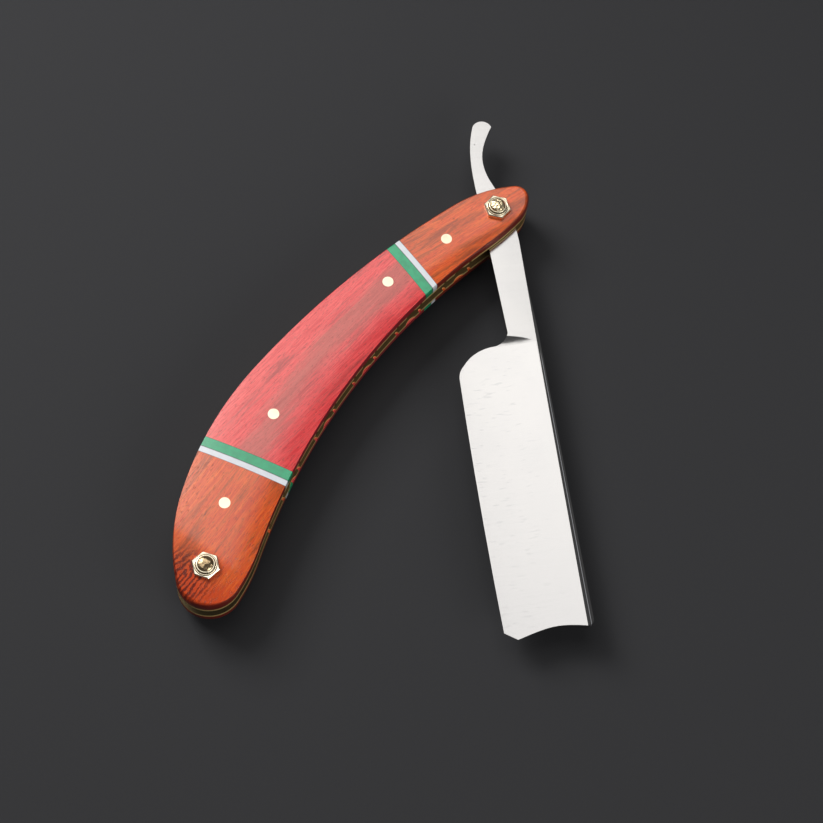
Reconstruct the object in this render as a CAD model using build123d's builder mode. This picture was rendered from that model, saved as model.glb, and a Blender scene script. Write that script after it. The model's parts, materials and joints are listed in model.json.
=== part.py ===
"""Straight razor with a laminated wood handle, brass liners and a notched blade.

The pivot axis stands at the origin and points up. +X runs from the pivot pin to the tail pin,
+Y is the hollow side of the handle, where the blade opens, and Z = 0 is the plane of the back pin
heads, on which the razor lies.
"""
import os
from math import atan2, cos, radians, sin, sqrt

from build123d import *

# ---- driving dimensions, in millimetres and degrees ----

# handle outline
pin_distance = 139.3        # pivot axis to tail pin axis
nose_reach = 10.9           # handle end beyond the pivot
butt_reach = 10.4           # handle end beyond the tail pin
neck_half_width = 7.0       # half the handle's width at the pivot
back_depth = 25.9           # how far the back bows out from the line of the pins
hollow_depth = 2.0          # how far the hollow edge dips past the line of the pins
butt_half_width = 10.6      # from the line of the pins to the hollow edge, at the tail pin

# layers of one scale, from the mid plane outwards
tang_thickness = 3.2        # flat stock of the blade
washer_thickness = 0.25
tang_side_clearance = 0.05  # running clearance between tang and each thrust washer
liner_thickness = 1.0
wood_thickness = 3.0        # at the crown
crown_radius = 110.0        # cross-section radius of the wood's outer face
wood_edge_radius = 1.3

# coloured spacers between the woods
white_width = 1.8
green_width = 3.0
pivot_band_at = 28.6        # where the pivot end spacers start, along the line of the pins
pivot_band_drop = 8.7       # that point's drop below the line
pivot_band_lean = 16.7      # lean of the pivot end spacers from square
tail_band_from_pin = 33.3   # where the tail end spacers start, measured back from the tail pin
tail_band_drop = 10.7
tail_band_lean = -12.9
glue_line = 0.02            # gap left between neighbouring woods and spacers

# pins and their collars
pin_radius = 1.5
pin_fit = 0.02              # clearance of a pin in what it is peened into
scale_pin_radius = 1.6
scale_pin_proud = 0.03
hex_across_flats = 7.0
hex_thickness = 1.3
hex_chamfer = 0.25
ring_set_back = 0.4         # flats of the hex collar to the ring that seats on it
ring_thickness = 0.8
ring_step = 0.5
ring_edge_radius = 0.22
head_overhang = 0.7         # peened head past the shank of its pin
head_height = 0.9
head_land_radius = 1.1      # flat left on each peened head
head_bulge = 0.2            # how far the head's flank rounds outwards
pivot_hex_turn = -6.3
tail_hex_turn = -11.5
washer_width = 2.1          # pin to the rim of a thrust washer
spacer_tube_wall = 1.0
pivot_running_clearance = 0.05

# filework along the hollow edge of each liner
slot_pitch = 10.2
slot_radius = 0.55
slot_depth = 0.75
scallop_radius = 4.6
scallop_depth = 0.5
scallop_offset = 4.3        # from a slot to the scallop that follows it
filework_margin = 4.0       # plain edge left at each end of the filework

# blade, in its own frame: along the blade, and across it towards the spine
rest_opening = 44.0         # angle from the line of the pins to the blade at rest
blade_width = 25.4          # spine to edge
spine_offset = 6.0          # spine above the blade's axis through the pivot
heel_at = 42.4              # start of the wide blade
edge_smile = 0.4            # bow of the cutting edge
toe_gap = 6.0               # closed blade to tail spacer tube
toe_notch_depth = 2.3
tang_belly = 3.6            # tang's lower side below the axis
tail_length = 33.0          # curved tail beyond the pivot
grind_start = 1.4           # ground face starts this far below the spine
edge_thickness = 0.2
bevel_width = 0.6           # honed bevel along the edge
bevel_thickness = 0.25      # where the bevel starts
bevel_land = 0.08
facet_heel_width = 1.1      # facets filed along the spine, widening towards the toe
facet_toe_width = 2.4
ridge_toe_width = 1.0       # spine to the ridge between the two facets, at the toe
ridge_height = 0.62         # height of that ridge, as a share of the half thickness
spine_toe_height = 0.2      # height left at the spine, at the toe, as the same share
wheel_radius = 150.0        # hollow of the ground faces
plunge_radius = 9.0         # grinding wheel's run-out at the heel
plunge_break = 9.0          # crisp angle between the run-out and the ground face
plunge_sweep = 38.0         # arc of the run-out, enough to clear the stock
run_out_at = 0.1            # run-out begins this far past the heel
over_travel = 5.0           # wheel's path past the toe

# ---- sizes that follow ----

half_gap = tang_thickness / 2 + tang_side_clearance + washer_thickness
wood_base = half_gap + liner_thickness
wood_top = wood_base + wood_thickness
hex_top = wood_top + hex_thickness
ring_top = hex_top + ring_thickness
head_top = ring_top + head_height
mid_height = head_top

ring_radius = hex_across_flats / 2 - ring_set_back
head_radius = pin_radius + head_overhang
washer_radius = pin_radius + washer_width
spacer_tube_radius = pin_radius + spacer_tube_wall

sides = {"front": 1, "back": -1}
pin_axes = {"pivot": (0, 0), "tail": (pin_distance, 0)}
hex_turns = {"pivot": pivot_hex_turn, "tail": tail_hex_turn}

edge_offset = spine_offset - blade_width
toe_reach = pin_distance - spacer_tube_radius - toe_gap

scale_pin_places = [
    (17.5, -6.1),
    (39.4, -11.5),
    (pin_distance - 46.7, -12.6),
    (pin_distance - 17.5, -7.2),
]


def level(side, height):
    """Horizontal plane at a height above the mid plane, on the front (+1) or back (-1) side."""
    return Plane.XY.offset(mid_height + side * height)


def save(part, name):
    """Label one finished piece and write its STEP file."""
    part.label = name
    export_step(part, f"parts/{name}.step")


# ---- handle outline ----

neck = (9.4, neck_half_width - 1.8)
waist = (0.45 * pin_distance, -hollow_depth)
hip = (pin_distance - 12.3, butt_half_width - 2.2)
rim_points = [
    (pin_distance + 0.5, butt_half_width + 0.5),
    (pin_distance + butt_reach, 2.6),
    (pin_distance + butt_reach - 2.1, -3.6),
    (pin_distance - 12.9, -0.722 * back_depth),
    (0.61 * pin_distance, -back_depth),
    (6.0, -11.0),
    (1.0 - nose_reach, -0.6),
    (1.7 - nose_reach, neck_half_width - 1.7),
    (-2.0, neck_half_width + 0.1),
    neck,
]

with BuildLine() as outline:
    hollow = ThreePointArc(neck, waist, hip)
    rim = hollow
    for point in rim_points:
        rim = TangentArc(rim @ 1, point, tangent=rim % 1)

with BuildSketch() as handle_face:
    add(outline.line)
    make_face()

with BuildSketch() as pin_holes:
    with Locations(*pin_axes.values()):
        Circle(pin_radius + pin_fit)
    with Locations(*scale_pin_places):
        Circle(scale_pin_radius + pin_fit)

# ---- liners, with slots and scallops filed into the hollow edge ----

hollow_centre = hollow.arc_center
slot_count = int((hollow.length - 2 * filework_margin) // slot_pitch) + 1
first_slot = (hollow.length - (slot_count - 1) * slot_pitch) / 2
slot_shares = [(first_slot + slot_pitch * i) / hollow.length for i in range(slot_count)]
scallop_shares = [share + scallop_offset / hollow.length for share in slot_shares[:-1:2]]


def filed_at(share, cutter_radius, depth):
    """Centre of a round file that cuts to the given depth at a share of the hollow edge."""
    outward = (hollow_centre - hollow @ share).normalized()
    return hollow @ share + outward * (cutter_radius - depth)


with BuildSketch() as filework:
    with Locations(*[filed_at(share, slot_radius, slot_depth) for share in slot_shares]):
        Circle(slot_radius)
    with Locations(*[filed_at(share, scallop_radius, scallop_depth) for share in scallop_shares]):
        Circle(scallop_radius)

with BuildSketch() as liner_face:
    add(handle_face.sketch)
    add(pin_holes.sketch, mode=Mode.SUBTRACT)
    add(filework.sketch, mode=Mode.SUBTRACT)

os.makedirs("parts", exist_ok=True)

for name, side in sides.items():
    with BuildPart() as liner:
        with BuildSketch(level(side, half_gap)):
            add(liner_face.sketch)
        extrude(amount=side * liner_thickness)
    save(liner.part, f"{name}_liner")

# ---- woods and spacers: one crowned blank for each side, sawn across into seven pieces ----

handle_mid = pin_distance / 2
ridge_dip = (hollow_depth + back_depth) / 2     # crown's ridge below the line of the pins
crown_line_radius = (handle_mid**2 + ridge_dip**2) / (2 * ridge_dip)
crown_centre = Vector(handle_mid, crown_line_radius - ridge_dip, 0)
crown_half = back_depth


def crown_drop(reach):
    """How far the crowned face has fallen at a distance from its ridge."""
    return crown_radius - sqrt(crown_radius**2 - reach**2)


crown_plane = Plane(
    origin=(crown_centre.X, crown_centre.Y, mid_height),
    x_dir=(0, 1, 0),
    z_dir=(1, 0, 0),
)
crown_low = crown_line_radius - crown_half
crown_high = crown_line_radius + crown_half
crown_shoulder = wood_top - crown_drop(crown_half)

with BuildPart() as back_blank:
    with BuildSketch(level(-1, wood_base)):
        add(handle_face.sketch)
    extrude(amount=-wood_thickness)
    outer_face = back_blank.faces().sort_by(Axis.Z)[0]
    fillet(outer_face.outer_wire().edges(), radius=wood_edge_radius)
    with BuildSketch(crown_plane):
        with BuildLine():
            ThreePointArc(
                (crown_low, -crown_shoulder),
                (crown_line_radius, -wood_top),
                (crown_high, -crown_shoulder),
            )
            Polyline(
                (crown_high, -crown_shoulder),
                (crown_high, 0),
                (crown_low, 0),
                (crown_low, -crown_shoulder),
            )
        make_face()
    revolve(axis=Axis((crown_centre.X, crown_centre.Y, 0), (0, 0, 1)), mode=Mode.INTERSECT)
    with BuildSketch(level(-1, wood_base)):
        add(pin_holes.sketch)
    extrude(amount=-wood_thickness, mode=Mode.SUBTRACT)

with BuildPart() as front_blank:
    mirror(back_blank.part, about=level(1, 0))

blanks = {"front": front_blank.part, "back": back_blank.part}


def saw_plane(place, lean):
    """Upright cut across the handle, facing the tail, through a point on the line of the pins."""
    facing = Vector(cos(radians(lean)), -sin(radians(lean)), 0)
    return Plane(origin=place, z_dir=facing)


pivot_band_start = Vector(pivot_band_at, -pivot_band_drop, 0)
tail_band_start = Vector(pin_distance - tail_band_from_pin, -tail_band_drop, 0)
pivot_facing = saw_plane(pivot_band_start, pivot_band_lean).z_dir
tail_facing = saw_plane(tail_band_start, tail_band_lean).z_dir

cuts = [
    (pivot_band_start, pivot_band_lean),
    (pivot_band_start + pivot_facing * white_width, pivot_band_lean),
    (pivot_band_start + pivot_facing * (white_width + green_width), pivot_band_lean),
    (tail_band_start, tail_band_lean),
    (tail_band_start + tail_facing * green_width, tail_band_lean),
    (tail_band_start + tail_facing * (green_width + white_width), tail_band_lean),
]
segment_names = [
    "pivot_end_wood",
    "pivot_white_spacer",
    "pivot_green_spacer",
    "centre_wood",
    "tail_green_spacer",
    "tail_white_spacer",
    "tail_end_wood",
]

for name, blank in blanks.items():
    for index, segment_name in enumerate(segment_names):
        with BuildPart() as segment:
            add(blank)
            if index > 0:
                near_cut = saw_plane(*cuts[index - 1]).offset(glue_line / 2)
                split(bisect_by=near_cut, keep=Keep.TOP)
            if index < len(cuts):
                far_cut = saw_plane(*cuts[index]).offset(-glue_line / 2)
                split(bisect_by=far_cut, keep=Keep.BOTTOM)
        save(segment.part, f"{name}_{segment_name}")

# ---- flush scale pins: four short rods through liner and wood of each side ----

for name, side in sides.items():
    with BuildPart() as scale_pins:
        for x, y in scale_pin_places:
            ridge_distance = (Vector(x, y, 0) - crown_centre).length - crown_line_radius
            face_height = wood_top - crown_drop(abs(ridge_distance))
            with BuildSketch(level(side, half_gap)):
                with Locations((x, y)):
                    Circle(scale_pin_radius)
            extrude(amount=side * (face_height + scale_pin_proud - half_gap))
    save(scale_pins.part, f"{name}_scale_pins")

# ---- hex collars and rosette rings ----


def outer_rim(fitting, side):
    """Edges round the face of a fitting that points away from the mid plane."""
    outer_face = fitting.faces().sort_by(Axis.Z)[-1 if side > 0 else 0]
    return outer_face.outer_wire().edges()



for place, centre in pin_axes.items():
    for name, side in sides.items():
        with BuildPart() as hex_collar:
            with BuildSketch(level(side, wood_top)):
                with Locations(centre):
                    RegularPolygon(hex_across_flats / 2, 6, major_radius=False,
                                   rotation=hex_turns[place])
                    Circle(pin_radius + pin_fit, mode=Mode.SUBTRACT)
            extrude(amount=side * hex_thickness)
            chamfer(outer_rim(hex_collar, side), length=hex_chamfer)
        save(hex_collar.part, f"{name}_{place}_hex_collar")

        with BuildPart() as rosette:
            with BuildSketch(level(side, hex_top)):
                with Locations(centre):
                    Circle(ring_radius)
                    Circle(pin_radius + pin_fit, mode=Mode.SUBTRACT)
            extrude(amount=side * ring_thickness / 2)
            fillet(outer_rim(rosette, side), radius=ring_edge_radius)
            with BuildSketch(level(side, hex_top + ring_thickness / 2)):
                with Locations(centre):
                    Circle(ring_radius - ring_step)
                    Circle(pin_radius + pin_fit, mode=Mode.SUBTRACT)
            extrude(amount=side * ring_thickness / 2)
            fillet(outer_rim(rosette, side), radius=ring_edge_radius)
        save(rosette.part, f"{name}_{place}_rosette")

# ---- through pins with a peened head at each end ----

head_shoulder = (ring_top + head_top) / 2
head_flank = (head_radius + head_land_radius) / 2 + head_bulge

for place, centre in pin_axes.items():
    with BuildPart() as through_pin:
        with BuildSketch(Plane.XZ.offset(-centre[1])):
            with BuildLine():
                Polyline(
                    (centre[0], mid_height - head_top),
                    (centre[0] + head_land_radius, mid_height - head_top),
                )
                ThreePointArc(
                    (centre[0] + head_land_radius, mid_height - head_top),
                    (centre[0] + head_flank, mid_height - head_shoulder),
                    (centre[0] + head_radius, mid_height - ring_top),
                )
                Polyline(
                    (centre[0] + head_radius, mid_height - ring_top),
                    (centre[0] + pin_radius, mid_height - ring_top),
                    (centre[0] + pin_radius, mid_height + ring_top),
                    (centre[0] + head_radius, mid_height + ring_top),
                )
                ThreePointArc(
                    (centre[0] + head_radius, mid_height + ring_top),
                    (centre[0] + head_flank, mid_height + head_shoulder),
                    (centre[0] + head_land_radius, mid_height + head_top),
                )
                Polyline(
                    (centre[0] + head_land_radius, mid_height + head_top),
                    (centre[0], mid_height + head_top),
                    (centre[0], mid_height - head_top),
                )
            make_face()
        revolve(axis=Axis((centre[0], centre[1], 0), (0, 0, 1)))
    save(through_pin.part, f"{place}_pin")

# ---- thrust washers and the tail spacer tube ----

for name, side in sides.items():
    with BuildPart() as washer:
        with BuildSketch(level(side, half_gap - washer_thickness)):
            Circle(washer_radius)
            Circle(pin_radius + pin_fit, mode=Mode.SUBTRACT)
        extrude(amount=side * washer_thickness)
    save(washer.part, f"{name}_pivot_washer")

with BuildPart() as spacer_tube:
    with BuildSketch(level(1, -half_gap)):
        with Locations(pin_axes["tail"]):
            Circle(spacer_tube_radius)
            Circle(pin_radius + pin_fit, mode=Mode.SUBTRACT)
    extrude(amount=2 * half_gap)
save(spacer_tube.part, "tail_spacer_tube")

# ---- blade ----

blade_plane = Plane(
    origin=(0, 0, mid_height),
    x_dir=(cos(radians(rest_opening)), sin(radians(rest_opening)), 0),
    z_dir=(0, 0, 1),
)
half_stock = tang_thickness / 2
facet_start = heel_at + 3.0
tip_across = edge_offset + 3.9
tip_along = sqrt(toe_reach**2 - tip_across**2)
edge_from = (heel_at + 9.0, edge_offset + edge_smile)
edge_to = (tip_along - 2.3, edge_offset + edge_smile)
edge_mid = ((edge_from[0] + edge_to[0]) / 2, edge_offset)
notch_bottom = (tip_along - toe_notch_depth, -4.6)
spine_corner = (tip_along - 1.1, spine_offset - 2.1)
spine_to = (tip_along - 3.5, spine_offset)
spine_from = (heel_at - 1.4, spine_offset)
heel_root = (heel_at - 3.6, -tang_belly + 0.6)
heel_corner = (heel_at + 4.7, edge_offset + 2.3)
tail_corner = (-tail_length + 2.2, 3.7)
grind_top = spine_offset - grind_start
grind_middle = (grind_top + edge_offset) / 2
grind_height = (half_stock + edge_thickness / 2) / 2
grind_slope = atan2(half_stock - edge_thickness / 2, grind_top - edge_offset)
hollow_sag = wheel_radius - sqrt(wheel_radius**2 - ((grind_top - edge_offset) / 2)**2)
tail_heel = (-tail_length + 1.5, -1.9)
tang_root = (0.0, -tang_belly - 0.5)

with BuildPart() as blade:
    with BuildSketch(blade_plane):
        with BuildLine():
            edge = ThreePointArc(edge_from, edge_mid, edge_to)
            Line(edge_to, (tip_along, tip_across))
            Spline(
                (tip_along, tip_across),
                (tip_along - 1.85, -8.4),
                notch_bottom,
                spine_corner,
                tangents=((-0.28, 1), (0.25, 1)),
            )
            Spline(spine_corner, spine_to, tangents=((-0.2, 1), (-1, 0)))
            Line(spine_to, spine_from)
            Spline(
                spine_from,
                (22.0, spine_offset - 0.6),
                (0.0, 4.4),
                (-8.8, 1.5),
                (-14.5, -0.45),
                (-19.6, -0.85),
                (-25.8, 0.9),
                tail_corner,
                tangents=((-1, 0), (-0.85, 0.55)),
            )
            ThreePointArc(tail_corner, (-tail_length, 1.3), tail_heel)
            Spline(tail_heel, (-24.2, -3.85), (-13.7, -4.6), tang_root)
            Line(tang_root, heel_root)
            heel_hollow = ThreePointArc(heel_root, (heel_at - 1.2, -4.75), (heel_at - 0.2, -7.6))
            heel_shoulder = TangentArc(heel_hollow @ 1, heel_corner, tangent=(0.02, -1))
            ThreePointArc(heel_corner, (heel_at + 6.4, edge_offset + 1.0), edge_from)
        make_face()
        Circle(pin_radius + pivot_running_clearance, mode=Mode.SUBTRACT)
    extrude(amount=half_stock, both=True)

    for side in sides.values():
        # a large wheel cuts a shallow hollow that runs out in an arc at the heel
        wheel_plane = Plane(
            origin=blade_plane.from_local_coords((0, grind_middle, side * grind_height)),
            x_dir=blade_plane.x_dir,
            z_dir=blade_plane.y_dir * -cos(grind_slope) - Vector(0, 0, side * sin(grind_slope)),
        )
        run_out_centre = (
            heel_at + run_out_at + plunge_radius * sin(radians(plunge_break)),
            side * (plunge_radius * cos(radians(plunge_break)) - hollow_sag),
        )
        with BuildSketch(wheel_plane):
            with BuildLine():
                run_out = CenterArc(
                    run_out_centre, plunge_radius,
                    side * (-90 - plunge_break), -side * plunge_sweep)
                Polyline(
                    run_out @ 0,
                    (toe_reach + over_travel, -side * hollow_sag),
                    (toe_reach + over_travel, (run_out @ 1).Y),
                    run_out @ 1,
                )
            make_face()
        wheel_axis_point = wheel_plane.from_local_coords((0, side * (wheel_radius - hollow_sag), 0))
        revolve(axis=Axis(wheel_axis_point, blade_plane.x_dir), mode=Mode.SUBTRACT)

    def keep_inside(points):
        """Cut the blade with the plane through three blade-frame points, and keep the middle."""
        first, second, third = [blade_plane.from_local_coords(point) for point in points]
        normal = (second - first).cross(third - first)
        inside = Vector(0, 0, mid_height) - first
        if normal.dot(inside) > 0:
            normal = normal * -1
        split(bisect_by=Plane(origin=first, z_dir=normal), keep=Keep.BOTTOM)

    for side in sides.values():
        ridge_toe = (toe_reach, spine_offset - ridge_toe_width, side * ridge_height * half_stock)
        keep_inside([
            (facet_start, spine_offset - facet_heel_width, side * half_stock),
            (toe_reach, spine_offset - facet_toe_width, side * half_stock),
            ridge_toe,
        ])
        keep_inside([
            (facet_start, spine_offset, side * ridge_height * half_stock),
            ridge_toe,
            (toe_reach, spine_offset, side * spine_toe_height * half_stock),
        ])
        keep_inside([
            (0, edge_offset + bevel_width, side * bevel_thickness / 2),
            (heel_at, edge_offset + bevel_width, side * bevel_thickness / 2),
            (0, edge_offset, side * bevel_land / 2),
        ])
save(blade.part, "blade")
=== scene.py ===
"""Looks of a straight razor: laminated wood scales, filed brass liners, pin heads and a notched blade."""
import json
import math

import bpy
import numpy as np
from mathutils import Matrix, Vector


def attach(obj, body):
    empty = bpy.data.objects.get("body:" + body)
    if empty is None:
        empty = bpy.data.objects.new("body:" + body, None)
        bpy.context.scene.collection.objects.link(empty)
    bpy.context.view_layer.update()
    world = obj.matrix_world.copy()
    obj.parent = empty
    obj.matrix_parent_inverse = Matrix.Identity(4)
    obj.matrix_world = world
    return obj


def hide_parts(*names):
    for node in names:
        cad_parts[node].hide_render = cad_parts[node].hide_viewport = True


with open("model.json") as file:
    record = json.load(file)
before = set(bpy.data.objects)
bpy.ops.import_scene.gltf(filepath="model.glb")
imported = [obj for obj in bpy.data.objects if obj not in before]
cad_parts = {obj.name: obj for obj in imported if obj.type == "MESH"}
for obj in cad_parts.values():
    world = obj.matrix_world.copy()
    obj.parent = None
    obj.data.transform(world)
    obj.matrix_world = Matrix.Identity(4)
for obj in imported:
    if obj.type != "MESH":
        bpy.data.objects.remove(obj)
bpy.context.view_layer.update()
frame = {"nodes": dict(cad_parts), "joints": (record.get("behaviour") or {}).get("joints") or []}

MM = 0.001
SIDES = ("front", "back")
PIVOT_AXIS = Vector(frame["joints"][0]["pos_m"])
BLADE_OPENING = math.radians(44.0)

PIN_PLACES = {"pivot": (0.0, 0.0), "tail": (0.1393, 0.0)}

RIDGE_CENTRE = (0.06965, 0.1669, 0)     # centre of the arc that the handle's ridge follows
RIDGE_RADIUS = 0.18085
CROWN_END = 0.1255      # the wood's crown falls away towards the butt from here
CROWN_RATE = 0.0095     # how fast it falls, in millimetres for each square millimetre
BUTT_FADE = (8.0, 11.5)     # where the polish thins towards the butt, in millimetres past CROWN_END
FACET_RIDGE_FROM = (45.4, 5.452)    # ridge between the spine's facets, along and across the blade
FACET_RIDGE_FALL = 0.0053

bpy.context.scene.view_settings.view_transform = "Standard"


# ---- shader maths on sockets ----

class Value:
    """A shader socket that can be added, scaled and compared like a number."""

    def __init__(self, tree, socket):
        self.tree = tree
        self.socket = socket

    def _math(self, operation, *inputs):
        node = self.tree.node("ShaderNodeMath", {"operation": operation},
                              {index: item for index, item in enumerate(inputs)})
        return node.out(0)

    def __add__(self, other):
        return self._math("ADD", self, other)

    __radd__ = __add__

    def __sub__(self, other):
        return self._math("SUBTRACT", self, other)

    def __rsub__(self, other):
        return self._math("SUBTRACT", other, self)

    def __mul__(self, other):
        return self._math("MULTIPLY", self, other)

    __rmul__ = __mul__

    def power(self, exponent):
        return self._math("POWER", self, exponent)

    def below(self, other):
        return self._math("MINIMUM", self, other)

    def above(self, other):
        return self._math("MAXIMUM", self, other)

    def size(self):
        return self._math("ABSOLUTE", self)

    def step(self, low, high):
        """0 below low, 1 above high and smooth between them."""
        node = self.tree.node("ShaderNodeMapRange", {"interpolation_type": "SMOOTHSTEP"},
                              {"Value": self, "From Min": low, "From Max": high})
        return node.out(0)


class Placed:
    """A node that has been added, whose outputs are asked for by name or number."""

    def __init__(self, tree, node):
        self.tree = tree
        self.raw = node

    def out(self, key):
        return Value(self.tree, self.raw.outputs[key])


class Finish:
    """One procedural material, with its nodes added one at a time."""

    def __init__(self, name):
        self.material = bpy.data.materials.new(name)
        self.material.use_nodes = True
        self.nodes = self.material.node_tree.nodes
        self.links = self.material.node_tree.links
        self.shader = self.nodes["Principled BSDF"]

    def node(self, kind, settings=None, inputs=None):
        """Add a node, set its settings first and then the values or links of its sockets."""
        node = self.nodes.new(kind)
        for key, value in (settings or {}).items():
            setattr(node, key, value)
        for key, value in (inputs or {}).items():
            self.feed(node.inputs[key], value)
        return Placed(self, node)

    def feed(self, socket, value):
        if isinstance(value, Value):
            self.links.new(value.socket, socket)
        else:
            socket.default_value = value

    def surface(self, **inputs):
        for key, value in inputs.items():
            self.feed(self.shader.inputs[key.replace("_", " ")], value)

    def place(self, turn=0.0, scale=(1, 1, 1), origin=(0, 0, 0)):
        """Object coordinates in millimetres about an origin, turned about Z and then scaled."""
        coordinates = self.node("ShaderNodeTexCoord").out("Object")
        centred = self.node("ShaderNodeVectorMath", {"operation": "SUBTRACT"},
                            {0: coordinates, 1: origin}).out(0)
        turned = self.node("ShaderNodeVectorRotate", {"rotation_type": "Z_AXIS"},
                           {"Vector": centred, "Angle": -turn}).out(0)
        return self.node("ShaderNodeVectorMath", {"operation": "MULTIPLY"},
                         {0: turned, 1: [1000 * share for share in scale]}).out(0)

    def noise(self, where, scale=1.0, detail=3.0, roughness=0.5, distortion=0.0):
        node = self.node("ShaderNodeTexNoise", None, {
            "Vector": where, "Scale": scale, "Detail": detail,
            "Roughness": roughness, "Distortion": distortion,
        })
        return node.out("Fac")

    def mix(self, share, first, second):
        """Colour that goes from the first to the second as the share rises."""
        node = self.node("ShaderNodeMix", {"data_type": "RGBA"}, None)
        self.feed(node.raw.inputs[0], share)
        self.feed(node.raw.inputs[6], first)
        self.feed(node.raw.inputs[7], second)
        return node.out(2)

    def reach_from(self, point):
        """Distance in metres from the upright line through a point of the plane z = 0."""
        flat = self.node("ShaderNodeVectorMath", {"operation": "MULTIPLY"}, {
            0: self.node("ShaderNodeTexCoord").out("Object"), 1: (1, 1, 0),
        }).out(0)
        return self.node("ShaderNodeVectorMath", {"operation": "DISTANCE"},
                         {0: flat, 1: point}).out("Value")

    def from_pins(self):
        """Distance in millimetres from the nearer of the two pin axes."""
        pivot, tail = [self.reach_from((x, y, 0)) for x, y in PIN_PLACES.values()]
        return pivot.below(tail) * 1000

    def off_ridge(self):
        """Distance in millimetres outwards from the arc of the handle's ridge."""
        return (self.reach_from(RIDGE_CENTRE) - RIDGE_RADIUS) * 1000

    def past_crown(self):
        """Distance in millimetres from where the wood's crown ends, towards the butt."""
        return self.split(self.place(0, (1, 1, 1), (CROWN_END, 0, 0)))[0]

    def split(self, vector):
        node = self.node("ShaderNodeSeparateXYZ", None, {0: vector})
        return node.out(0), node.out(1), node.out(2)

    def bump(self, height, distance, strength=1.0, over=None):
        """Normal of a relief of a height, laid over another relief if one is given."""
        inputs = {"Height": height, "Distance": distance, "Strength": strength}
        if over is not None:
            inputs["Normal"] = over
        return self.node("ShaderNodeBump", None, inputs).out(0)


def colour(red, green, blue):
    return (red, green, blue, 1.0)


# ---- materials ----

def wood(name, grain_turn, pale, deep, dark, streak, seed, hollow_fade=(4.0, 10.5), haze=0.12,
         ridge_streak=None, figure=None):
    """Oiled and polished wood: broad streaks, fine fibre and short pores along one grain direction.

    pale, deep and dark are its three tones, and streak is how much of the dark tone runs through it.
    The polish thins out where the crown falls away, from the first to the second distance of
    hollow_fade towards the hollow edge and of BUTT_FADE towards the butt. haze is its roughness.
    ridge_streak is an optional duller tone along the handle's ridge, and figure an optional centre,
    in metres, of a jagged dark growth figure, with painted shade that deepens the wood towards the butt's
    end.
    The rounded edges carry painted shade, strongest where they face the hollow side."""
    finish = Finish(name)
    offset = (seed * 0.031, seed * 0.017, seed * 0.011)
    broad = finish.noise(finish.place(grain_turn, (0.035, 0.36, 0.36), offset), 1.0, 5.0, 0.66, 0.4)
    fibre = finish.noise(finish.place(grain_turn, (0.13, 2.4, 2.4), offset), 1.0, 4.0, 0.65, 0.2)
    pores = finish.noise(finish.place(grain_turn, (0.75, 5.0, 5.0), offset), 1.0, 2.0, 0.5)
    flecks = finish.noise(finish.place(grain_turn, (0.9, 3.4, 3.4), offset), 1.0, 1.0, 0.5)
    body = finish.mix((fibre * 0.9 + broad * 0.7 - 0.3).step(0.3, 0.7), deep, pale)
    tone = finish.mix((broad + fibre * 0.35).step(0.7 - streak, 0.88 - streak) * 0.7, body, dark)
    if ridge_streak:
        band = 1 - ((finish.off_ridge() + 0.6).size() + (broad - 0.5) * 16).step(0.8, 5.5)
        tone = finish.mix(band * 0.55, tone, ridge_streak)
    polish = 1.0
    if figure:
        ring_place = finish.place(grain_turn, (0.2, 0.5, 0.5), figure)
        warp = finish.noise(ring_place, 1.3, 5.0, 0.7, 1.2)
        rings = finish.node("ShaderNodeTexWave", {"wave_type": "RINGS", "rings_direction": "Z"}, {
            "Vector": ring_place, "Scale": 0.5, "Distortion": 9.0,
            "Detail": 4.0, "Detail Scale": 1.6, "Detail Roughness": 0.75,
        }).out("Fac")
        along, across, _ = finish.split(finish.place(grain_turn, (1, 1, 1), figure))
        near = 1 - (along * along * 0.35 + across * across * 0.3).power(0.5).step(2.5, 6.5)
        # painted shade: the wood turns to its deep tone towards the butt's end, and its coat thins there
        # so less sheen shows
        tip_shade = along.step(-7.0, 0.5)
        tone = finish.mix(tip_shade * 0.75, tone, deep)
        polish = 1 - tip_shade * 0.5
        tone = finish.mix((rings * 0.6 + warp * 0.75).step(0.56, 0.84) * near * 0.95, tone, dark)
    tone = finish.mix(pores.step(0.56, 0.7) * 0.55, tone, dark)
    tone = finish.mix(flecks.step(0.6, 0.74) * 0.3, tone, pale)
    # painted shade: the rounded edges are mixed towards the dark tone, a little all round and strongly
    # where they face the hollow side
    _, facing_hollow, facing_up = finish.split(finish.node("ShaderNodeTexCoord").out("Normal"))
    rim_shade = 1 - facing_up.size().step(0.6, 0.992)
    tone = finish.mix(rim_shade * (0.3 + 0.65 * facing_hollow.step(-0.05, 0.2)), tone, dark)
    hollow_reach = (0 - finish.off_ridge()).above(0.0)
    butt_reach = finish.past_crown().above(0.0)
    crown = finish.bump(0 - hollow_reach * hollow_reach - butt_reach * butt_reach, CROWN_RATE * MM)
    thinned = (1 - hollow_reach.step(*hollow_fade)) * (1 - butt_reach.step(*BUTT_FADE))
    grain = fibre * 0.8 + flecks * 0.5 - pores.step(0.56, 0.72)
    finish.surface(
        Base_Color=tone,
        Roughness=0.44 - 0.12 * fibre,
        Normal=finish.bump(grain, 0.045 * MM, 0.8, crown),
        Specular_IOR_Level=0.75,
        Specular_Tint=(1.0, 0.74, 0.62, 1.0),
        Coat_Weight=polish * thinned,
        Coat_Roughness=haze,
        Coat_IOR=1.48,
    )
    return finish.material


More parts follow.
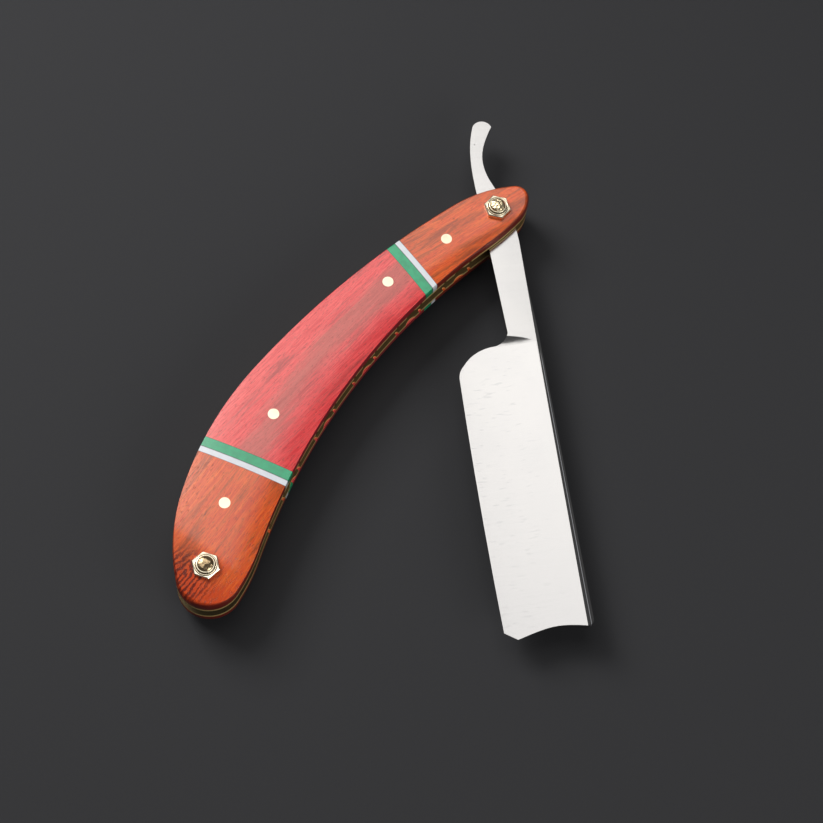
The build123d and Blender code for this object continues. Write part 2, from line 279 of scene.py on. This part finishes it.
def spacer(name, base, shade, turn, start, width):
    """Polished plastic sheet with faint mottling and haze, and a dark glue line at each face.

    start is the point where its band of spacers begins, with how far into the band it lies."""
    finish = Finish(name)
    mottle = finish.noise(finish.place(0, (0.5, 0.5, 0.5)), 1.0, 3.0, 0.6)
    haze = finish.noise(finish.place(0.3, (0.3, 4.0, 4.0)), 1.0, 2.0, 0.5)
    origin, depth = start
    along, _, _ = finish.split(finish.place(turn, (1, 1, 1), origin))
    off_middle = (along - depth - width / 2).size()
    glue = off_middle.step(width / 2 - 0.17, width / 2 - 0.05)
    tone = finish.mix(mottle.step(0.3, 0.75), base, shade)
    finish.surface(
        Base_Color=finish.mix(glue * 0.8, tone, colour(0.012, 0.012, 0.01)),
        Roughness=0.32 + 0.15 * haze,
        Normal=finish.bump(haze, 0.01 * MM, 0.3),
        Coat_Weight=0.9,
        Coat_Roughness=0.14,
        Coat_IOR=1.55,
    )
    return finish.material


def brass(name, roughness, wear, tone=(0.86, 0.69, 0.41), scratch_turn=0.0, tarnish=0.55, gap=False,
          metal=1.0, shade_rings=()):
    """Yellow brass with fine directional scratches, tarnish clouds and small dents.

    With gap, the faces towards the blade, in the gap between the scales, carry painted shade: dull brown,
    going near black towards the butt.
    metal is how metallic it is, and shade_rings lists the radius and half width of dark rings of painted
    shade round the pins, in the corners and grooves, in millimetres."""
    finish = Finish(name)
    cloud = finish.noise(finish.place(0, (0.35, 0.35, 0.35)), 1.0, 4.0, 0.6)
    scratch = finish.noise(finish.place(scratch_turn, (0.4, 9.0, 9.0)), 1.0, 3.0, 0.6)
    dents = finish.noise(finish.place(0, (1.7, 1.7, 1.7)), 1.0, 2.0, 0.5)
    dull = colour(tone[0] * 0.45, tone[1] * 0.38, tone[2] * 0.3)
    face = finish.mix(cloud.step(0.4, 0.75) * tarnish, colour(*tone), dull)
    rough = roughness + 0.16 * scratch * cloud
    if gap:
        # painted shade in the gap between the scales: the inner faces go dull brown, and near black
        # towards the butt
        _, _, height = finish.split(finish.place(0, (1, 1, 1), PIVOT_AXIS))
        inside = 1 - (height.size() + 0.25 * (cloud - 0.5)).step(1.92, 2.1)
        brown = finish.mix(finish.past_crown().step(-8.0, 8.0), colour(0.17, 0.1, 0.035),
                           colour(0.016, 0.012, 0.009))
        face = finish.mix(inside * 0.9, face, brown)
        rough = rough + 0.3 * inside
    # painted shade: dark rings in the corners and grooves round the pins, where the rings meet the
    # collars and the pin heads
    for radius, width in shade_rings:
        ring = 1 - (finish.from_pins() - radius).size().step(width * 0.5, width)
        face = finish.mix(ring * 0.88, face, colour(0.035, 0.025, 0.015))
        rough = rough + 0.3 * ring
    finish.surface(
        Base_Color=face,
        Metallic=metal,
        Roughness=rough,
        Normal=finish.bump(scratch * 0.25 + dents, wear * MM, 0.7),
    )
    return finish.material


def blade_steel(name):
    """Bright steel with faint grinding lines across the blade, soft clouding and a few tiny pits, with
    painted shade towards the toe and a painted highlight along the ridge between the spine's facets.
    """
    finish = Finish(name)
    lines = finish.noise(finish.place(BLADE_OPENING, (2.4, 0.07, 0.07)), 1.0, 3.0, 0.65)
    short_marks = finish.noise(finish.place(BLADE_OPENING, (1.6, 0.3, 0.3)), 1.0, 2.0, 0.4)
    cloud = finish.noise(finish.place(0, (0.06, 0.06, 0.06)), 1.0, 3.0, 0.5)
    pits = finish.node("ShaderNodeTexVoronoi", {"feature": "F1"}, {
        "Vector": finish.place(0, (0.085, 0.085, 0.085)), "Scale": 1.0, "Randomness": 1.0,
    }).out("Distance")
    pit_mask = 1 - pits.step(0.012, 0.03)
    along, across, _ = finish.split(finish.place(BLADE_OPENING, (1, 1, 1)))
    # painted shade: the steel darkens along the blade towards the toe
    toe_shade = along.step(40.0, 150.0)
    marks = short_marks.step(0.6, 0.74) * along.step(40.0, 50.0) * (1 - across.step(-6.0, 4.0) * 0.8)
    bright = finish.mix(cloud.step(0.3, 0.8), colour(0.615, 0.595, 0.575), colour(0.58, 0.565, 0.55))
    bright = finish.mix(toe_shade, bright, colour(0.53, 0.515, 0.505))
    marked = finish.mix(marks * (1 - toe_shade) * 0.16, bright, colour(0.36, 0.36, 0.37))
    # painted highlight: a thin pale line, less metallic, along the ridge between the spine's facets
    ridge_from, ridge_across = FACET_RIDGE_FROM
    off_ridge = (across + (along - ridge_from) * FACET_RIDGE_FALL - ridge_across).size()
    ridge_highlight = (1 - off_ridge.step(0.05, 0.13)) * along.step(44.0, 50.0)
    marked = finish.mix(ridge_highlight, marked, colour(0.42, 0.43, 0.45))
    finish.surface(
        Base_Color=finish.mix(pit_mask * 0.6, marked, colour(0.2, 0.19, 0.19)),
        Metallic=1.0 - 0.8 * ridge_highlight,
        Roughness=0.15 + 0.08 * lines + 0.05 * marks,
        Normal=finish.bump(lines * 0.5 - pit_mask, 0.004 * MM, 0.5),
    )
    return finish.material


PIVOT_GRAIN = math.radians(-18)
CENTRE_GRAIN = math.radians(-6)
TAIL_GRAIN = math.radians(2)
ORANGE = (colour(0.9, 0.17, 0.022), colour(0.6, 0.055, 0.01), colour(0.13, 0.009, 0.006))
RED = (colour(0.9, 0.1, 0.1), colour(0.66, 0.024, 0.036), colour(0.22, 0.012, 0.018))
RIDGE_TONE = colour(0.36, 0.13, 0.1)
TAIL_FIGURE = (0.1455, -0.0035, 0.0147)
WHITE = (colour(0.7, 0.71, 0.74), colour(0.63, 0.65, 0.69))
GREEN = (colour(0.002, 0.36, 0.15), colour(0.002, 0.27, 0.11))
PIVOT_BAND = {"turn": math.radians(-16.7), "origin": (0.0286, -0.0087, 0)}
TAIL_BAND = {"turn": math.radians(12.9), "origin": (0.106, -0.0107, 0)}


def banded(name, tones, band, depth, width):
    """Spacer finish for a sheet of a width that lies a depth into one of the two bands."""
    return spacer(name, *tones, turn=band["turn"], start=(band["origin"], depth), width=width)


finishes = {
    "pivot_end_wood": wood("orange_wood_pivot", PIVOT_GRAIN, *ORANGE, streak=0.06, seed=1,
                           hollow_fade=(3.0, 6.5)),
    "centre_wood": wood("red_wood", CENTRE_GRAIN, *RED, streak=0.0, seed=5,
                        haze=0.17, ridge_streak=RIDGE_TONE),
    "tail_end_wood": wood("orange_wood_tail", TAIL_GRAIN, *ORANGE, streak=0.08, seed=9,
                          figure=TAIL_FIGURE),
    "pivot_white_spacer": banded("white_sheet_pivot", WHITE, PIVOT_BAND, 0.0, 1.8),
    "pivot_green_spacer": banded("green_sheet_pivot", GREEN, PIVOT_BAND, 1.8, 3.0),
    "tail_green_spacer": banded("green_sheet_tail", GREEN, TAIL_BAND, 0.0, 3.0),
    "tail_white_spacer": banded("white_sheet_tail", WHITE, TAIL_BAND, 3.0, 1.8),
    "liner": brass("filed_liner_brass", 0.34, 0.1, tone=(1.0, 0.72, 0.28), tarnish=0.35, gap=True,
                   metal=0.65),
    "hex_collar": brass("collar_brass", 0.22, 0.012, tone=(1.0, 0.9, 0.68), scratch_turn=0.7,
                        tarnish=0.35, shade_rings=[(3.12, 0.11)]),
    "rosette": brass("rosette_brass", 0.2, 0.02, tone=(1.0, 0.88, 0.64), scratch_turn=1.9,
                     shade_rings=[(2.66, 0.1), (2.22, 0.1)]),
    "scale_pins": brass("pin_brass", 0.26, 0.01, tone=(0.97, 0.86, 0.62), tarnish=0.2, metal=0.7),
    "pivot_pin": brass("peened_brass_pivot", 0.28, 0.06, tone=(0.92, 0.76, 0.48)),
    "tail_pin": brass("peened_brass_tail", 0.24, 0.04, tone=(0.62, 0.46, 0.26)),
    "washer": brass("washer_brass", 0.3, 0.01, tarnish=0.8),
    "blade": blade_steel("ground_steel"),
}


def finish_of(node_name):
    """The finish whose key ends the node's name, longest key first."""
    for key in sorted(finishes, key=len, reverse=True):
        if node_name.endswith(key):
            return finishes[key]
    return finishes["washer"]


for node_name, node in frame["nodes"].items():
    node.data.materials.clear()
    node.data.materials.append(finish_of(node_name))

# ---- turned and hammered fittings ----

STEPS_AROUND = 144
PIN_RADIUS = 1.5
PIN_FIT = 0.02
HEAD_RADIUS = 2.2
HEAD_HEIGHT = 0.9
RING_RADIUS = 3.1
RING_HEIGHT = 0.8
COLLAR_TOP = 7.2        # outer face of the hex collars above the mid plane
RING_TOP = COLLAR_TOP + RING_HEIGHT
RIM_ROUND = 0.16        # radius of the ring's rounded rim
BEAD_ROUND = 0.2        # radius of its bead
BEAD_SET_BACK = 0.7     # from the rim to the middle of the bead
HEAD_CLEARANCE = 0.03   # between the ring's top and the pin's shoulder


def arc(middle, radius, start, end, count=7):
    """Points (middle + radius * (cos t, sin t)) for t from start to end degrees."""
    turns = np.radians(np.linspace(start, end, count))
    return [(middle[0] + radius * math.cos(t), middle[1] + radius * math.sin(t)) for t in turns]


def turned(name, profile, centre, slot, node_name, relief=None):
    """Surface (r cos t, r sin t, h) for t in 0..2 pi, with (r, h) running along a closed profile.

    A profile that starts and ends on the axis makes a solid bar, and any other makes a ring.
    relief(r, t, h) is how far each point sinks towards the mid plane. All in millimetres."""
    profile = np.array(profile, dtype=float)
    bar = profile[0, 0] == 0
    inner = profile[1:-1] if bar else profile
    turns = np.linspace(0, 2 * math.pi, STEPS_AROUND, endpoint=False)
    radius, turn = np.meshgrid(inner[:, 0], turns, indexing="ij")
    height = np.repeat(inner[:, 1:], STEPS_AROUND, axis=1)
    if relief is not None:
        height = height - np.sign(height) * relief(radius, turn, height)
    points = np.stack([radius * np.cos(turn), radius * np.sin(turn), height], axis=-1)
    rows = len(inner)
    vertices = points.reshape(-1, 3).tolist()
    faces = []
    for row in range(rows - 1 if bar else rows):
        above = (row + 1) % rows
        for step in range(STEPS_AROUND):
            following = (step + 1) % STEPS_AROUND
            faces.append((row * STEPS_AROUND + step, row * STEPS_AROUND + following,
                          above * STEPS_AROUND + following, above * STEPS_AROUND + step))
    if bar:
        for end, row, flip in ((0, 0, True), (-1, rows - 1, False)):
            level = points[row, :, 2].mean()
            vertices.append((0.0, 0.0, float(level)))
            pole = len(vertices) - 1
            for step in range(STEPS_AROUND):
                pair = (row * STEPS_AROUND + step, row * STEPS_AROUND + (step + 1) % STEPS_AROUND)
                faces.append((pole, *(reversed(pair) if flip else pair)))
    placed = np.array(vertices) * MM + np.array([centre[0], centre[1], PIVOT_AXIS.z])
    mesh = bpy.data.meshes.new(name)
    mesh.from_pydata(placed.tolist(), [], faces)
    mesh.polygons.foreach_set("use_smooth", [True] * len(faces))
    mesh.materials.append(finish_of(node_name))
    piece = bpy.data.objects.new(name, mesh)
    bpy.context.collection.objects.link(piece)
    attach(piece, "handle")
    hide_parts(node_name)
    return piece


def ring_profile(side):
    """Stepped ring with a round bead above a groove, from the collar outwards."""
    bore = PIN_RADIUS + PIN_FIT
    points = [(bore + 0.4, COLLAR_TOP), (RING_RADIUS - 0.05, COLLAR_TOP)]
    points += [(RING_RADIUS, COLLAR_TOP + 0.05), (RING_RADIUS, COLLAR_TOP + 0.14)]
    points += arc((RING_RADIUS - RIM_ROUND, COLLAR_TOP + RIM_ROUND), RIM_ROUND, 5, 85)
    points += [(RING_RADIUS - 0.3, COLLAR_TOP + 0.31), (RING_RADIUS - 0.38, COLLAR_TOP + 0.22)]
    points += [(RING_RADIUS - 0.46, COLLAR_TOP + 0.24), (RING_RADIUS - 0.5, COLLAR_TOP + 0.4)]
    points += arc((RING_RADIUS - BEAD_SET_BACK, RING_TOP - BEAD_ROUND), BEAD_ROUND, 0, 90)
    shoulder = RING_TOP - HEAD_CLEARANCE
    points += [(RING_RADIUS - 0.86, shoulder), (bore, shoulder), (bore, COLLAR_TOP)]
    if side < 0:
        points = [(radius, -height) for radius, height in reversed(points)]
    return points


def head_profile(flatness):
    """Half of a pin: the shank, then the underside of the head and its dome up to the axis."""
    shares = np.linspace(1.0, 0.0, 26)
    dome = [(HEAD_RADIUS * share, RING_TOP + HEAD_HEIGHT * (1 - share**flatness)**0.62)
            for share in shares]
    under = [(PIN_RADIUS, RING_TOP - HEAD_CLEARANCE), (PIN_RADIUS + 0.1, RING_TOP - 0.01),
             (HEAD_RADIUS - 0.06, RING_TOP - 0.01)]
    return under + dome


def hammered(seed, blows, depth, spread):
    """Relief of a peened head: overlapping round hammer marks, each a shallow bowl."""
    chance = np.random.default_rng(seed)
    reach = HEAD_RADIUS * np.sqrt(chance.uniform(0.0, 0.95, blows))
    angle = chance.uniform(0, 2 * math.pi, blows)
    size = chance.uniform(0.6, 1.0, blows) * spread
    deep = chance.uniform(0.5, 1.0, blows) * depth

    def relief(radius, turn, height):
        x, y = radius * np.cos(turn), radius * np.sin(turn)
        sunk = np.zeros_like(radius)
        for place, way, width, bottom in zip(reach, angle, size, deep):
            off = np.hypot(x - place * math.cos(way), y - place * math.sin(way)) / width
            sunk = np.maximum(sunk, bottom * np.clip(1 - off**2, 0, None))
        fade = np.clip((np.abs(height) - RING_TOP) / (0.35 * HEAD_HEIGHT), 0, 1)
        return sunk * fade

    return relief


HEAD_LOOKS = {
    "pivot": {"flatness": 3.2, "relief": hammered(4, 46, 0.16, 0.5)},
    "tail": {"flatness": 1.9, "relief": hammered(11, 16, 0.2, 0.95)},
}

for place, centre in PIN_PLACES.items():
    look = HEAD_LOOKS[place]
    front_half = head_profile(look["flatness"])
    back_half = [(radius, -height) for radius, height in reversed(front_half)]
    turned(f"peened_{place}_pin", back_half + front_half, centre, "brass", f"{place}_pin",
           relief=look["relief"])
    for side_name, side in zip(SIDES, (1, -1)):
        turned(f"beaded_{side_name}_{place}_ring", ring_profile(side), centre, "brass",
               f"{side_name}_{place}_rosette")

# ---- floor, lights and camera ----

FLOOR_SIZE = 3.0
LENS = 82.6
SENSOR_WIDTH = 36.0
CAMERA_PLACE = (0.26014, 0.12122, 0.4987)
CAMERA_RIGHT = (-0.5798, 0.8128, 0.0556)
CAMERA_UP = (-0.7306, -0.5489, 0.4061)
CAMERA_BACK = (0.3607, 0.1948, 0.9121)
HANDLE_MIDDLE = (0.06, 0, 0)
ALONG_BLADE = Matrix.Rotation(BLADE_OPENING, 4, "Z")


def floor():
    """Charcoal card that the razor lies on."""
    mesh = bpy.data.meshes.new("floor")
    half = FLOOR_SIZE / 2
    corners = [(-half, -half, 0), (half, -half, 0), (half, half, 0), (-half, half, 0)]
    mesh.from_pydata(corners, [], [(0, 1, 2, 3)])
    piece = bpy.data.objects.new("floor", mesh)
    bpy.context.collection.objects.link(piece)
    finish = Finish("charcoal_card")
    grain = finish.noise(finish.place(0, (1.5, 1.5, 1.5)), 1.0, 3.0, 0.6)
    finish.surface(
        Base_Color=finish.mix(grain, colour(0.029, 0.029, 0.031), colour(0.034, 0.034, 0.036)),
        Roughness=0.8,
        Specular_IOR_Level=0.2,
    )
    mesh.materials.append(finish.material)


def facing(place, aim):
    """Turn that points a light at a place towards its aim."""
    return (Vector(aim) - Vector(place)).to_track_quat("-Z", "Y").to_matrix().to_4x4()


def softbox(name, place, turn, size, power):
    """Rectangular area light at a place, which shines down before it is turned."""
    lamp = bpy.data.lights.new(name, "AREA")
    lamp.shape = "RECTANGLE"
    lamp.size, lamp.size_y = size
    lamp.energy = power
    piece = bpy.data.objects.new(name, lamp)
    bpy.context.collection.objects.link(piece)
    piece.matrix_world = Matrix.Translation(place) @ turn


def camera():
    """Camera above the hollow side of the handle, tilted 24 degrees from straight down."""
    lens = bpy.data.cameras.new("camera")
    lens.sensor_width = SENSOR_WIDTH
    lens.lens = LENS
    piece = bpy.data.objects.new("camera", lens)
    bpy.context.collection.objects.link(piece)
    turn = Matrix((CAMERA_RIGHT, CAMERA_UP, CAMERA_BACK)).transposed().to_4x4()
    piece.matrix_world = Matrix.Translation(CAMERA_PLACE) @ turn
    bpy.context.scene.camera = piece


floor()
softbox("overhead", (-0.199, -0.140, 0.62), ALONG_BLADE, (0.61, 0.275), 0.78)
softbox("overhead_back", (0.028, -0.375, 0.62), ALONG_BLADE, (0.61, 0.38), 1.0)
for light, place, size, power in (
    ("key", (-0.02, -0.76, 0.66), (0.5, 0.5), 8.4),
    ("fill", (0.2, 0.75, 0.36), (0.7, 0.4), 3.2),
):
    softbox(light, place, facing(place, HANDLE_MIDDLE), size, power)
world = bpy.data.worlds.new("studio")
world.use_nodes = True
world.node_tree.nodes["Background"].inputs["Color"].default_value = (0.95, 0.97, 1.0, 1.0)
world.node_tree.nodes["Background"].inputs["Strength"].default_value = 0.08
bpy.context.scene.world = world
camera()
